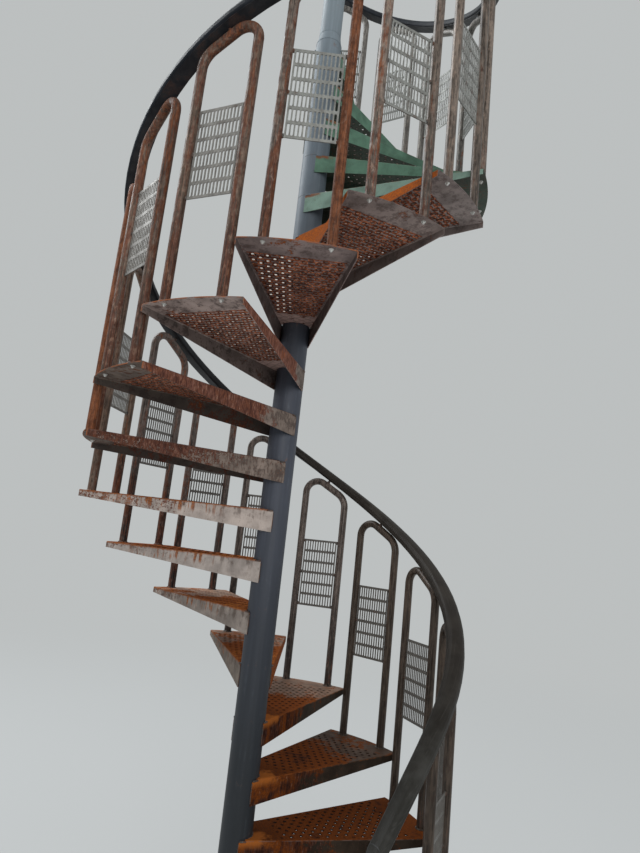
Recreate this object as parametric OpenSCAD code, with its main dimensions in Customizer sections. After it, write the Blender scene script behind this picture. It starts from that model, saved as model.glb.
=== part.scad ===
// Outdoor spiral staircase in steel.
// A round column carries folded, perforated treads. Each tread has one bent
// tube hoop bolted on its outer end, with a slotted panel welded between the
// hoop's legs, and a handrail winds over the hoops.
// +Z is up. The origin is on the column's axis, under the base plate.

/* [Steps] */

// Height from one tread to the next
rise = 190; // [160:1:220]

// Turn from one tread to the next, in degrees
step_angle = 24.8; // [22:0.1:28]

// Plan angle of the first tread's centre line, in degrees
first_angle = -25.6; // [-180:0.1:180]

/* [Column] */

// Outside diameter of the column tube
column_d = 114; // [90:1:150]

// Outside diameter of the thinner post over it
post_d = 97; // [60:1:110]

// How far the column stands over the top tread
column_over_tread = 17; // [5:1:150]

// Height of the taper between the column and the post
reducer_h = 48; // [20:1:100]

// How far the post stands over the taper
post_height = 925; // [300:5:1200]

// Thickness of the cap on the post
post_cap_t = 8; // [4:1:20]

// How far the cap stands out past the post
post_cap_lip = 3; // [1:0.5:10]

/* [Base plate] */

// Side of the square base plate
base_side = 260; // [220:5:400]

// Thickness of the base plate
base_t = 14; // [8:1:30]

// Spacing of the four anchor bolts
base_bolt_spacing = 200; // [160:5:320]

// Diameter of the anchor bolt holes
base_hole_d = 18; // [12:1:26]

/* [Treads] */

// Radius of the tread's outer edge
tread_r = 739; // [700:1:820]

// Half of the angle that the outer edge spans, in degrees
tread_half_angle = 14.5; // [13:0.1:16]

// Thickness of the folded sheet
sheet_t = 3; // [2:0.5:5]

// Inside radius of the fold between the top sheet and a flange
fold_r = 2.5; // [1:0.5:6]

// Depth of the side flanges at the column
flange_deep = 84; // [50:1:120]

// Depth of the side flanges at the outer edge
flange_shallow = 22; // [12:1:40]

// How far the flanges reach back past the column's axis
flange_back = 8; // [2:1:20]

// Distance from the axis to the top sheet's back edge
sheet_back = 14; // [8:1:30]

// Diameter of the holes in the top sheet
grip_hole_d = 10; // [6:0.5:12]

// Distance between holes along the tread
grip_row_pitch = 38; // [30:0.5:50]

// Distance between columns of holes across the tread
grip_column_pitch = 23.2; // [18:0.2:30]

// Radius of the outermost holes
grip_last_r = 620; // [560:1:650]

// Radius that the innermost holes don't pass
grip_first_r = 155; // [120:1:200]

// Solid margin between the holes and the tread's sides
grip_margin = 22; // [15:1:40]

/* [Hoops] */

// Outside diameter of the hoop's tube
tube_d = 33.7; // [25:0.1:48]

// How far in from the tread's outer edge the legs stand
leg_inset = 22; // [18:1:60]

// Distance between the two legs of a hoop
leg_spacing = 206.6; // [160:0.2:260]

// Height of the hoop's sloped top over its tread, at its middle
hoop_height = 943; // [850:1:1050]

// Radius of the lower, wider bend of the hoop, at the tube's centre
low_bend_r = 80; // [60:1:95]

// Radius of the upper, tighter bend of the hoop, at the tube's centre
high_bend_r = 58; // [45:1:62]

// Length of the ground weld at each end of a bend
weld_l = 3; // [2:0.5:6]

// How far a weld stands out of the tube
weld_rise = 0.3; // [0.2:0.1:1]

// Gap between two lengths of tube inside their weld
weld_root = 0.4; // [0.2:0.1:1]

/* [Slotted panels] */

// Width of the panel between the legs
panel_w = 163; // [120:1:165]

// Thickness of the panel
panel_t = 3; // [2:0.5:6]

// Height of the panel's lower edge over the tread
panel_low = 349; // [250:1:450]

// Columns of slots
slot_columns = 12; // [6:1:12]

// Rows of slots
slot_rows = 6; // [3:1:6]

// Distance between slots across the panel
slot_pitch = 13; // [11:0.1:13]

// Width of a slot
slot_w = 8; // [5:0.5:9]

// Length of a slot with its round ends
slot_l = 42; // [30:1:46]

// Distance between rows of slots
slot_row_pitch = 52; // [48:1:60]

// Solid band under the lowest and over the highest slots
panel_band = 9; // [5:1:20]

// Height of a weld tab that joins the panel to a leg
tab_h = 14; // [8:1:24]

/* [Handrail] */

// Width of the flat bar under the grip
bar_w = 50; // [30:1:56]

// Thickness of the flat bar
bar_t = 8; // [5:1:12]

// Height of the stud between a hoop and the flat bar
stud_h = 11; // [3:0.5:20]

// Diameter of the stud
stud_d = 12; // [8:1:16]

// Width of the grip
grip_w = 64; // [60:1:76]

// Height of the grip
grip_h = 37; // [24:1:50]

// How square the grip's top is: 1 is a half ellipse, less is flatter
grip_square = 0.75; // [0.5:0.05:1]

// Depth of the groove that holds the flat bar
groove_depth = 5; // [2:0.5:6]

// Length of the cap on each end of the grip
cap_l = 34; // [20:1:60]

// How far the rail runs on before the first hoop, in steps
lead_in = 1.35; // [0.5:0.05:1.6]

// Outward swing of the rail's lower end, one step below the second tread
lead_swing = 5; // [0:0.5:12]

// Dip of the rail's lower end, one step below the first tread
lead_dip = 36; // [0:1:60]

// How far the rail runs on after the last hoop, in steps
lead_out = 0.5; // [0.45:0.05:1]

/* [Hidden] */

// Number of treads, one node for each
tread_count = 20;

// Hoops, panels and rail lengths come four to a node
group = 4;

// Clear gap between pieces that fit face to face
fit = 0.2;

// Column
column_r = column_d / 2;
column_top = tread_count * rise + column_over_tread;
post_base = column_top + reducer_h;
post_top = post_base + post_height;

// Treads: each flange is a flat plate that runs past the column's side
side_offset = column_r + fit + sheet_t;
side_turn = tread_half_angle - asin(side_offset / tread_r);
side_length = sqrt(tread_r * tread_r - side_offset * side_offset);
side_cut = tread_r + sheet_t;
edge_segments = 240;
fold_outer = fold_r + sheet_t;
fold_facets = 5;
grip_columns = floor(tread_r * sin(tread_half_angle) / grip_column_pitch);
grip_rows = floor((grip_last_r - grip_first_r) / grip_row_pitch);

// The legs stand just inside the tread's edge and the handrail runs over them
leg_r = tread_r - leg_inset;
rail_r = leg_r;

// Hoops: the top slopes as the handrail does
step_arc = rail_r * step_angle * PI / 180;
slope = atan(rise / step_arc);
tube_r = tube_d / 2;
leg_half = leg_spacing / 2;
hoop_r = sqrt(leg_r * leg_r - leg_half * leg_half);
low_turn = 90 - slope;
high_turn = 90 + slope;
low_leg = hoop_height - leg_half * tan(slope) - low_bend_r * tan(low_turn / 2);
high_leg = hoop_height + leg_half * tan(slope) - high_bend_r * tan(high_turn / 2);
top_angle = 90 + slope;
top_start_x = -leg_half + low_bend_r * (1 + cos(top_angle));
top_start_y = low_leg + low_bend_r * sin(top_angle);
top_end_x = leg_half - high_bend_r * (1 - cos(top_angle));
top_length = (top_end_x - top_start_x) / cos(slope);

// Panels
panel_h = (slot_rows - 1) * slot_row_pitch + slot_l + 2 * panel_band;
tab_steps = [0, 0.5, 1];

// Handrail
bar_lift = tube_r + fit + stud_h;
rings_per_step = 6;
lip_flat = 0.8;
grip_corner = (grip_w - bar_w) / 2 - fit - lip_flat;
cap_rings = 6;
cap_step = cap_l / (step_arc / cos(slope));

// Smoothness of round surfaces
$fa = 1.5;
$fs = 2;

// Colours
column_blue = [0.42, 0.48, 0.55];
tread_brown = [0.36, 0.24, 0.18];
tread_green = [0.33, 0.45, 0.36];
tube_brown = [0.42, 0.33, 0.27];
panel_grey = [0.52, 0.52, 0.49];
grip_dark = [0.17, 0.18, 0.19];
bar_grey = [0.34, 0.34, 0.34];

// Plan angle of a place on the stair, counted in treads
function turn_at(step) = first_angle + (step - 1) * step_angle;

// Puts a piece of one tread in its place
module on_tread(step) {
    translate([0, 0, step * rise])
        rotate([0, 0, turn_at(step)])
            children();
}

// Square plate under the column, with its four anchor holes
module base_plate() {
    color(column_blue)
        linear_extrude(base_t)
            difference() {
                square(base_side, center = true);
                for (x = [-1, 1], y = [-1, 1])
                    translate([x, y] * base_bolt_spacing / 2)
                        circle(d = base_hole_d);
            }
}

module column() {
    color(column_blue)
        translate([0, 0, base_t])
            cylinder(h = column_top - base_t, d = column_d);
}

module column_taper() {
    color(column_blue)
        translate([0, 0, column_top])
            cylinder(h = reducer_h, d1 = column_d, d2 = post_d);
}

module top_post() {
    color(column_blue)
        translate([0, 0, post_base])
            cylinder(h = post_height, d = post_d);
}

module post_cap() {
    color(column_blue)
        translate([0, 0, post_top])
            cylinder(h = post_cap_t, d = post_d + 2 * post_cap_lip);
}

// How far a line along the tread's side is from its centre line
function side_at(along, offset) =
    (offset + along * sin(side_turn)) / cos(side_turn);

// Staggered holes that follow the tread's centre line
module grip_holes() {
    for (column = [-grip_columns : grip_columns]) {
        across = column * grip_column_pitch;
        shift = column % 2 == 0 ? 0 : grip_row_pitch / 2;
        for (row = [0 : grip_rows]) {
            along = grip_last_r - shift - row * grip_row_pitch;
            side = side_at(along, side_offset) - grip_margin;
            if (along > grip_first_r && abs(across) < side)
                translate([along, across])
                    circle(d = grip_hole_d);
        }
    }
}

// Section across one folded side: the top sheet's level, the bend and the flange
module fold_section(inset, depth) {
    turn_r = fold_outer - inset;
    polygon(concat(
        [[-side_cut, -depth], [side_offset - inset, -depth]],
        [for (i = [0 : fold_facets])
            [side_offset - fold_outer + turn_r * cos(i * 90 / fold_facets),
             turn_r * sin(i * 90 / fold_facets) - fold_outer]],
        [[-side_cut, -inset]]
    ));
}

// Wedge between the tread's two sides, its upper edges rounded by the folds
module folded_wedge(inset, depth) {
    intersection_for (turn = [0, 1])
        mirror([0, turn, 0])
            rotate([0, 0, side_turn])
                translate([-side_offset, 0, 0])
                    rotate([90, 0, 90])
                        linear_extrude(side_cut + 2 * side_offset)
                            fold_section(inset, depth);
}

// The tread seen from the side: flat top, back ends by the column, tapered flanges
module side_view() {
    translate([0, side_cut, 0])
        rotate([90, 0, 0])
            linear_extrude(2 * side_cut)
                polygon([
                    [-flange_back, -fold_outer - 1],
                    [sheet_back, -fold_outer - 1],
                    [sheet_back, sheet_t],
                    [side_cut, sheet_t],
                    [side_cut, -flange_shallow],
                    [0, -flange_deep],
                    [-flange_back, -flange_deep]
                ]);
}

module tread(step) {
    paint = step > 15 ? tread_green : tread_brown;
    color(paint)
        on_tread(step)
            difference() {
                intersection() {
                    folded_wedge(0, flange_deep + sheet_t);
                    side_view();
                    translate([0, 0, -flange_deep - sheet_t])
                        cylinder(h = flange_deep + 2 * sheet_t, r = tread_r,
                                 $fn = edge_segments);
                }
                folded_wedge(sheet_t, flange_deep + 2 * sheet_t);
                translate([0, 0, -sheet_t - fold_r / 2])
                    cylinder(h = 2 * sheet_t, r = column_r + fit);
                translate([0, 0, -sheet_t - fold_r / 2])
                    linear_extrude(2 * sheet_t)
                        grip_holes();
            }
}

// Turns a flat drawing into the upright plane of a hoop
module hoop_plane() {
    translate([hoop_r, 0, 0])
        rotate([90, 0, 90])
            children();
}

// Straight tube that stands up from the drawing's X axis
module leg(x, height) {
    translate([x, 0, 0])
        rotate([-90, 0, 0])
            cylinder(h = height, d = tube_d);
}

// Bent length of tube with a ground weld at each of its ends
module bend(x, y, r, start, turn) {
    weld_turn = asin(weld_root / 2 / r);
    translate([x, y, 0]) {
        rotate([0, 0, start + weld_turn])
            rotate_extrude(angle = turn - 2 * weld_turn)
                translate([r, 0])
                    circle(d = tube_d);
        for (end = [start, start + turn])
            rotate([0, 0, end])
                translate([r, 0, 0])
                    rotate([90, 0, 0])
                        cylinder(h = weld_l, d = tube_d + 2 * weld_rise, center = true);
    }
}

module hoop(step) {
    color(tube_brown)
        on_tread(step)
            hoop_plane() {
                leg(-leg_half, low_leg - weld_root / 2);
                leg(leg_half, high_leg - weld_root / 2);
                bend(-leg_half + low_bend_r, low_leg, low_bend_r, top_angle, low_turn);
                bend(leg_half - high_bend_r, high_leg, high_bend_r, 0, high_turn);
                translate([top_start_x, top_start_y, 0])
                    rotate([0, 0, slope])
                        translate([weld_root / 2, 0, 0])
                            rotate([0, 90, 0])
                                cylinder(h = top_length - weld_root, d = tube_d);
                translate([0, hoop_height, 0])
                    rotate([0, 0, slope])
                        rotate([-90, 0, 0])
                            cylinder(h = tube_r + stud_h, d = stud_d);
            }
}

// The hoops of one group, each on its own tread
module hoop_group(g) {
    for (step = [g * group + 1 : (g + 1) * group])
        hoop(step);
}

// One slot with round ends
module slot() {
    straight = slot_l - slot_w;
    square([slot_w, straight], center = true);
    for (end = [-1, 1])
        translate([0, end * straight / 2])
            circle(d = slot_w);
}

module panel_outline() {
    difference() {
        translate([-panel_w / 2, 0])
            square([panel_w, panel_h]);
        for (column = [0 : slot_columns - 1], row = [0 : slot_rows - 1]) {
            x = (column - (slot_columns - 1) / 2) * slot_pitch;
            y = panel_band + slot_l / 2 + row * slot_row_pitch;
            translate([x, y])
                slot();
        }
    }
}

// Three weld tabs a side reach from the panel to the legs
module weld_tabs() {
    for (place = tab_steps)
        translate([-leg_half, place * (panel_h - tab_h)])
            square([leg_spacing, tab_h]);
}

module panel(step) {
    color(panel_grey)
        on_tread(step)
            hoop_plane()
                difference() {
                    translate([0, panel_low, -panel_t / 2])
                        linear_extrude(panel_t) {
                            panel_outline();
                            difference() {
                                weld_tabs();
                                translate([-panel_w / 2, 0])
                                    square([panel_w, panel_h]);
                            }
                        }
                    for (x = [-leg_half, leg_half])
                        leg(x, panel_low + panel_h + tab_h);
                }
}

// The panels of one group
module panel_group(g) {
    for (step = [g * group + 1 : (g + 1) * group])
        panel(step);
}

// Height of the flat bar's underside along the stair
function bar_z(step) =
    step * rise + hoop_height + bar_lift / cos(slope)
    - lead_dip * pow(max(0, 1 - step), 3);

// A point of the rail's section, out from the rail's line and up from the bar
function rail_point(step, out, up) =
    let (r = rail_r + lead_swing * pow(max(0, 2 - step), 3) + out)
    [r * cos(turn_at(step)), r * sin(turn_at(step)), bar_z(step) + up / cos(slope)];

// Sweeps a section along the stair; each ring is [place, size of the section].
// Every four-cornered patch is split the same way, so the grip follows the bar.
module rail_sweep(section, rings) {
    sides = len(section);
    points = [
        for (ring = rings, p = section)
            rail_point(ring[0], p[0] * ring[1], bar_t + (p[1] - bar_t) * ring[1])
    ];
    last = (len(rings) - 1) * sides;
    skin = [
        for (r = [0 : len(rings) - 2], s = [0 : sides - 1])
            let (next = (s + 1) % sides,
                 a = r * sides + s,
                 b = r * sides + next)
            each section[s][0] <= section[next][0]
                ? [[a, a + sides, b], [b, a + sides, b + sides]]
                : [[a, a + sides, b + sides], [a, b + sides, b]]
    ];
    start_face = [for (s = [0 : sides - 1]) s];
    end_face = [for (s = [0 : sides - 1]) last + sides - 1 - s];
    polyhedron(points = points, faces = concat(skin, [start_face, end_face]));
}

// Rings of full size from one place on the stair to another
function plain_rings(from, to) =
    let (count = round((to - from) * rings_per_step))
    [for (i = [0 : count]) [from + (to - from) * i / count, 1]];

// Where a group of hoops has its length of rail begin and end
function group_start(g) = g == 0 ? 1 - lead_in : g * group + 0.5;
function group_end(g) =
    g == tread_count / group - 1 ? tread_count + lead_out : (g + 1) * group + 0.5;

// Section of the flat bar
bar_section = [
    [-bar_w / 2, 0],
    [-bar_w / 2, bar_t],
    [bar_w / 2, bar_t],
    [bar_w / 2, 0]
];

// Rounded outside of the grip, from its lower inner edge over the top
lip_y = bar_t - groove_depth;
grip_top = lip_y + grip_h;
grip_arc = [
    for (a = [180 : -18 : 0])
        [grip_w / 2 * sign(cos(a)) * pow(abs(cos(a)), grip_square),
         lip_y + grip_corner + (grip_h - grip_corner) * pow(sin(a), grip_square)]
];
grip_low_inner = [
    for (a = [0 : 45 : 45])
        [-grip_w / 2 + grip_corner - grip_corner * sin(a),
         lip_y + grip_corner - grip_corner * cos(a)]
];
grip_low_outer = [
    for (a = [45 : -45 : 0])
        [grip_w / 2 - grip_corner + grip_corner * sin(a),
         lip_y + grip_corner - grip_corner * cos(a)]
];
grip_outside = concat(grip_low_inner, grip_arc, grip_low_outer);
groove = [
    [bar_w / 2 + fit, lip_y],
    [bar_w / 2 + fit, bar_t + fit],
    [-bar_w / 2 - fit, bar_t + fit],
    [-bar_w / 2 - fit, lip_y]
];

module rail_bar(g) {
    color(bar_grey)
        rail_sweep(bar_section, plain_rings(group_start(g), group_end(g)));
}

module grip(g) {
    color(grip_dark)
        rail_sweep(concat(grip_outside, groove),
                   plain_rings(group_start(g), group_end(g)));
}

// Round end cap that runs on past the grip
module grip_cap(from, way) {
    rings = [
        for (i = [0 : cap_rings])
            let (part = i / cap_rings)
            [from + way * cap_step * sin(part * 80),
             cos(part * 80)]
    ];
    ordered = way > 0 ? rings : [for (i = [cap_rings : -1 : 0]) rings[i]];
    color(grip_dark)
        rail_sweep(grip_outside, ordered);
}

base_plate();
column();
column_taper();
top_post();
post_cap();
tread(1);  // tread_01
tread(2);  // tread_02
tread(3);  // tread_03
tread(4);  // tread_04
tread(5);  // tread_05
tread(6);  // tread_06
tread(7);  // tread_07
tread(8);  // tread_08
tread(9);  // tread_09
tread(10);  // tread_10
tread(11);  // tread_11
tread(12);  // tread_12
tread(13);  // tread_13
tread(14);  // tread_14
tread(15);  // tread_15
tread(16);  // tread_16
tread(17);  // tread_17
tread(18);  // tread_18
tread(19);  // tread_19
tread(20);  // tread_20
hoop_group(0);  // hoops_01_to_04
hoop_group(1);  // hoops_05_to_08
hoop_group(2);  // hoops_09_to_12
hoop_group(3);  // hoops_13_to_16
hoop_group(4);  // hoops_17_to_20
panel_group(0);  // panels_01_to_04
panel_group(1);  // panels_05_to_08
panel_group(2);  // panels_09_to_12
panel_group(3);  // panels_13_to_16
panel_group(4);  // panels_17_to_20
rail_bar(0);  // rail_bar_01_to_04
rail_bar(1);  // rail_bar_05_to_08
rail_bar(2);  // rail_bar_09_to_12
rail_bar(3);  // rail_bar_13_to_16
rail_bar(4);  // rail_bar_17_to_20
grip(0);  // grip_01_to_04
grip(1);  // grip_05_to_08
grip(2);  // grip_09_to_12
grip(3);  // grip_13_to_16
grip(4);  // grip_17_to_20
grip_cap(group_start(0), -1);  // grip_cap_low
grip_cap(group_end(tread_count / group - 1), 1);  // grip_cap_high
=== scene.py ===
import math
import random
from collections import namedtuple

import bpy
from mathutils import Matrix, Vector


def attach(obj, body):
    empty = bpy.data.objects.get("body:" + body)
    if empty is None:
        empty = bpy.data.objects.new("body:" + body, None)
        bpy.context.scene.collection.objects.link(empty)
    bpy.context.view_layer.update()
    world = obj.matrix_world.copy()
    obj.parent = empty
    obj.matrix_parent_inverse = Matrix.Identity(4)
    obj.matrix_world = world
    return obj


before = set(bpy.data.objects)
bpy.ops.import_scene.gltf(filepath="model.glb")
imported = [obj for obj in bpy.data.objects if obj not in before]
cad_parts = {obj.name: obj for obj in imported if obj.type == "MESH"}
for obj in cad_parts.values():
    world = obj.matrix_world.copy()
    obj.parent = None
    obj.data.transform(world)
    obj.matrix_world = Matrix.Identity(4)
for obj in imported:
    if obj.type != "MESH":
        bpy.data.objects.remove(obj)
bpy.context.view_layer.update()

# Sizes of the stair in metres and degrees, as in the CAD source

RISE = 0.190
STEP_ANGLE = 24.8
FIRST_ANGLE = -25.6
STEPS = 20
STEPS_A_GROUP = 4
GROUPS = [f"{n:02d}_to_{n + STEPS_A_GROUP - 1:02d}" for n in range(1, STEPS + 1, STEPS_A_GROUP)]

# Gap between pieces that seat on each other
FIT_GAP = 0.0002

COLUMN_R = 0.057
COLUMN_OVER_TREAD = 0.017
TAPER_H = 0.048
POST_R = 0.0485
COLUMN_TOP = STEPS * RISE + COLUMN_OVER_TREAD
POST_BASE = COLUMN_TOP + TAPER_H
BASE_T = 0.014
BOLT_HALF = 0.100

TREAD_R = 0.739
TREAD_HALF_ANGLE = math.radians(14.5)
SHEET_T = 0.003
SIDE_OFFSET = COLUMN_R + FIT_GAP + SHEET_T
SIDE_TURN = TREAD_HALF_ANGLE - math.asin(SIDE_OFFSET / TREAD_R)
FLANGE_BACK = 0.008
FLANGE_WELD_LOW = -0.0770

HOLE_R = 0.005
COLUMN_PITCH = 0.0232
ROW_PITCH = 0.038
FIRST_R = 0.155
LAST_R = 0.620
MARGIN = 0.022

TUBE_R = 0.01685
LEG_INSET = 0.022
LEG_R = TREAD_R - LEG_INSET
LEG_HALF = 0.1033
HOOP_U = math.sqrt(LEG_R ** 2 - LEG_HALF ** 2)
HOOP_H = 0.943
PANEL_LOW = 0.349
PANEL_H = 0.320
TAB_H = 0.014

RAIL_R = LEG_R
BAR_W = 0.050
STUD_H = 0.011
BAR_LIFT = TUBE_R + FIT_GAP + STUD_H
GRIP_W = 0.064
GRIP_H = 0.037
GRIP_LIP = 0.003
GRIP_ROUND = 0.0008
SLOPE = math.atan(RISE / (RAIL_R * math.radians(STEP_ANGLE)))
LEAD_IN = 1.35
LEAD_OUT = 0.5
LEAD_SWING = 0.005
LEAD_DIP = 0.036


# Places on the stair

def turn_of(step):
    """Plan angle of a tread's centre line."""
    return math.radians(FIRST_ANGLE + (step - 1) * STEP_ANGLE)


def on_tread(step, u, v, h):
    """A point u out from the column, v across and h over a tread's top."""
    a = turn_of(step)
    return (u * math.cos(a) - v * math.sin(a), u * math.sin(a) + v * math.cos(a), step * RISE + h)


def side_at(u, offset):
    """Half width of a tread at u, for a side that passes the column's axis at an offset."""
    return (offset + u * math.sin(SIDE_TURN)) / math.cos(SIDE_TURN)


def rail_point(step, out, up):
    """A point beside the rail's line; the line swings out and dips below the first tread."""
    a = turn_of(step)
    r = RAIL_R + LEAD_SWING * max(0.0, 2 - step) ** 3 + out
    dip = LEAD_DIP * max(0.0, 1 - step) ** 3
    z = step * RISE + HOOP_H + (BAR_LIFT + up) / math.cos(SLOPE) - dip
    return (r * math.cos(a), r * math.sin(a), z)


# Mesh pieces

class Shape:
    """Collects rings, beads and lumps into one mesh."""

    ACROSS = Vector((0.13, 0.21, 0.97))
    ACROSS_UPRIGHT = Vector((0.9, 0.1, 0.1))
    RAGGED_BEAD = 0.12
    BEAD_END = 0.35
    LUMPY = 0.13

    def __init__(self):
        self.points = []
        self.faces = []

    def rings(self, rings, close_ends=False):
        """Joins rings of equal length into a skin."""
        base = len(self.points)
        n = len(rings[0])
        for ring in rings:
            self.points.extend(ring)
        for r in range(len(rings) - 1):
            for s in range(n):
                a = base + r * n + s
                b = base + r * n + (s + 1) % n
                self.faces.append((a, b, b + n, a + n))
        if close_ends:
            self.faces.append(tuple(base + s for s in reversed(range(n))))
            last = base + (len(rings) - 1) * n
            self.faces.append(tuple(last + s for s in range(n)))

    def lathe(self, profile, sides, place, close_ends=False, shape=None):
        """Turns a profile of (radius, height) about an upright axis; place maps x, y, z to the stair."""
        rings = []
        for r, h in profile:
            ring = []
            for s in range(sides):
                a = 2 * math.pi * s / sides
                radius = shape(a, r) if shape else r
                ring.append(place(radius * math.cos(a), radius * math.sin(a), h))
            rings.append(ring)
        self.rings(rings, close_ends)

    def bead(self, path, radius, rng, sides=6, ripple=0.18):
        """A weld bead along a path of points."""
        rings = []
        count = len(path)
        for i, p in enumerate(path):
            p = Vector(p)
            ahead = Vector(path[min(i + 1, count - 1)]) - Vector(path[max(i - 1, 0)])
            ahead.normalize()
            across = ahead.cross(self.ACROSS)
            if across.length < 0.1:
                across = ahead.cross(self.ACROSS_UPRIGHT)
            across.normalize()
            other = ahead.cross(across)
            wave = ripple if i % 2 else -ripple
            r = radius * (1 + wave + rng.uniform(-self.RAGGED_BEAD, self.RAGGED_BEAD))
            if i in (0, count - 1):
                r *= self.BEAD_END
            ring = []
            for s in range(sides):
                a = 2 * math.pi * s / sides
                ring.append(tuple(p + across * (r * math.cos(a)) + other * (r * math.sin(a))))
            rings.append(ring)
        self.rings(rings, True)

    def lump(self, centre, axes, sizes, rng, sides=8, stacks=5):
        """A lumpy blob, such as a weld spot."""
        rings = []
        for k in range(1, stacks + 1):
            t = math.pi * k / (stacks + 1)
            ring = []
            for s in range(sides):
                a = 2 * math.pi * s / sides
                j = 1 + rng.uniform(-self.LUMPY, self.LUMPY)
                d = (math.sin(t) * math.cos(a) * j, math.sin(t) * math.sin(a) * j, math.cos(t))
                p = Vector(centre)
                for axis, size, value in zip(axes, sizes, d):
                    p += Vector(axis) * (size * value)
                ring.append(tuple(p))
            rings.append(ring)
        self.rings(rings, True)

    def build(self, name, material, slot, sharp=40):
        """Makes the piece, with faces that meet at more than the sharp angle kept crisp."""
        mesh = bpy.data.meshes.new(name)
        mesh.from_pydata(self.points, [], self.faces)
        mesh.update()
        mesh.polygons.foreach_set("use_smooth", [True] * len(mesh.polygons))
        mesh.set_sharp_from_angle(angle=math.radians(sharp))
        mesh.materials.append(material)
        piece = bpy.data.objects.new(name, mesh)
        bpy.context.scene.collection.objects.link(piece)
        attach(piece, "root")


def hexagon(a, r):
    """Radius of a nut at an angle, where r is half its width across the flats."""
    return r / math.cos((a % (math.pi / 3)) - math.pi / 6)


# Materials

class Paint:
    """A node material with short helpers."""

    def __init__(self, name):
        self.material = bpy.data.materials.new(name)
        self.material.use_nodes = True
        self.tree = self.material.node_tree
        self.tree.nodes.clear()
        self.out = self.tree.nodes.new("ShaderNodeOutputMaterial")
        self.shader = self.tree.nodes.new("ShaderNodeBsdfPrincipled")
        self.fill(self.out, {"Surface": self.shader.outputs["BSDF"]})

    def node(self, kind, inputs, output=0, **settings):
        """Adds a node with its settings and inputs, and gives one of its outputs."""
        n = self.tree.nodes.new("ShaderNode" + kind)
        for name, value in settings.items():
            setattr(n, name, value)
        self.fill(n, inputs)
        return n.outputs[output]

    def fill(self, node, values):
        """Sets a node's inputs, by number or name, or links them to other nodes' outputs."""
        for key, value in values.items():
            socket = node.inputs[key]
            if isinstance(value, bpy.types.NodeSocket):
                self.tree.links.new(value, socket)
            elif isinstance(value, tuple) and len(value) < len(socket.default_value):
                socket.default_value = (*value, 1.0)
            elif value is not None:
                socket.default_value = value

    def where(self):
        """The place on the stair, which is the same for each CAD node and piece."""
        return self.node("TexCoord", {}, "Object")

    def normal(self):
        return self.node("NewGeometry", {}, "Normal")

    def calc(self, op, a, b=None):
        return self.node("Math", {0: a, 1: b}, operation=op)

    def add(self, total, *others):
        for other in others:
            total = self.calc("ADD", total, other)
        return total

    def mul(self, total, *others):
        for other in others:
            total = self.calc("MULTIPLY", total, other)
        return total

    def sub(self, a, b):
        return self.calc("SUBTRACT", a, b)

    def weigh(self, *parts):
        """Sum of pairs of a value and its share."""
        return self.add(*(self.mul(value, share) for value, share in parts))

    def ramp(self, value, low, high, to_low=0.0, to_high=1.0):
        """A smooth step from one value at low to another at high."""
        inputs = {0: value, 1: low, 2: high, 3: to_low, 4: to_high}
        return self.node("MapRange", inputs, interpolation_type="SMOOTHSTEP")

    def fade(self, value, low, high):
        """1 up to low and 0 from high on."""
        return self.ramp(value, low, high, 1.0, 0.0)

    def around(self, value, middle, half):
        """A smooth step that is half done at the middle."""
        return self.ramp(value, self.sub(middle, half), self.add(middle, half))

    def blend(self, share, a, b):
        """From value a to value b by a share."""
        return self.node("Mix", {0: share, 2: a, 3: b})

    def mix(self, share, a, b, way="MIX"):
        """From colour a to colour b by a share."""
        return self.node("Mix", {0: share, 6: a, 7: b}, 2, data_type="RGBA", blend_type=way)

    def lay(self, colour, cover, *shares):
        """Lays a colour over another, by the product of the shares."""
        return self.mix(self.mul(*shares), colour, cover)

    def times(self, colour, factor):
        """A colour times a value or another colour."""
        if not isinstance(factor, tuple):
            factor = self.joined(factor, factor, factor)
        return self.mix(1.0, colour, factor, "MULTIPLY")

    def noise(self, where, scale, detail=4.0, rough=0.55, bend=0.0):
        inputs = {"Vector": where, "Scale": scale, "Detail": detail, "Roughness": rough}
        return self.node("TexNoise", {**inputs, "Distortion": bend})

    def vector(self, op, a, b=None):
        return self.node("VectorMath", {0: a, 1: b}, "Value" if op == "LENGTH" else 0, operation=op)

    def drawn_out(self, where, share):
        """Squeezes heights, so that a noise there runs down in streaks."""
        return self.vector("MULTIPLY", where, (1.0, 1.0, share))

    def turned(self, where, angle):
        return self.node("VectorRotate", {"Vector": where, "Angle": angle}, rotation_type="Z_AXIS")

    def split(self, where):
        return self.node("SeparateXYZ", {0: where}, slice(3))

    def joined(self, x, y, z):
        return self.node("CombineXYZ", {0: x, 1: y, 2: z})

    def finish(self, colour, rough, height=None, depth=0.001, metal=0.0, gloss=0.5):
        """Sets the shader; height makes a bump of up to depth metres."""
        self.fill(self.shader, {"Base Color": colour, "Roughness": rough, "Metallic": metal})
        self.shader.inputs["Specular IOR Level"].default_value = gloss
        if height is not None:
            bumps = self.node("Bump", {"Strength": 1.0, "Distance": depth, "Height": height})
            self.fill(self.shader, {"Normal": bumps})
        return self.material


# The look of the treads

RUST_DARK = (0.040, 0.017, 0.013)
RUST_BROWN = (0.098, 0.037, 0.022)
RUST_RED = (0.115, 0.050, 0.036)
RUST_EMBER = (0.150, 0.046, 0.017)
RUST_ORANGE = (0.290, 0.074, 0.013)
STEEL_BAND = (0.112, 0.087, 0.080)
STEEL_DARK = (0.044, 0.038, 0.036)
STEEL_WORN = (0.175, 0.138, 0.115)
STEEL_END = (0.215, 0.168, 0.142)
GREEN = (0.112, 0.215, 0.152)
GREEN_PALE = (0.200, 0.300, 0.245)
GREEN_DEEP = (0.056, 0.078, 0.058)

# One face of a tread: its bare colour, the rust at the inner and the outer end, how much of
# the rust is orange, where along the tread one rust turns into the other, and how bright it is
Face = namedtuple(
    "Face", "bare rust_in rust_out orange turn_from turn_to bright", defaults=(0.20, 0.50, 1.0))

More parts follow.
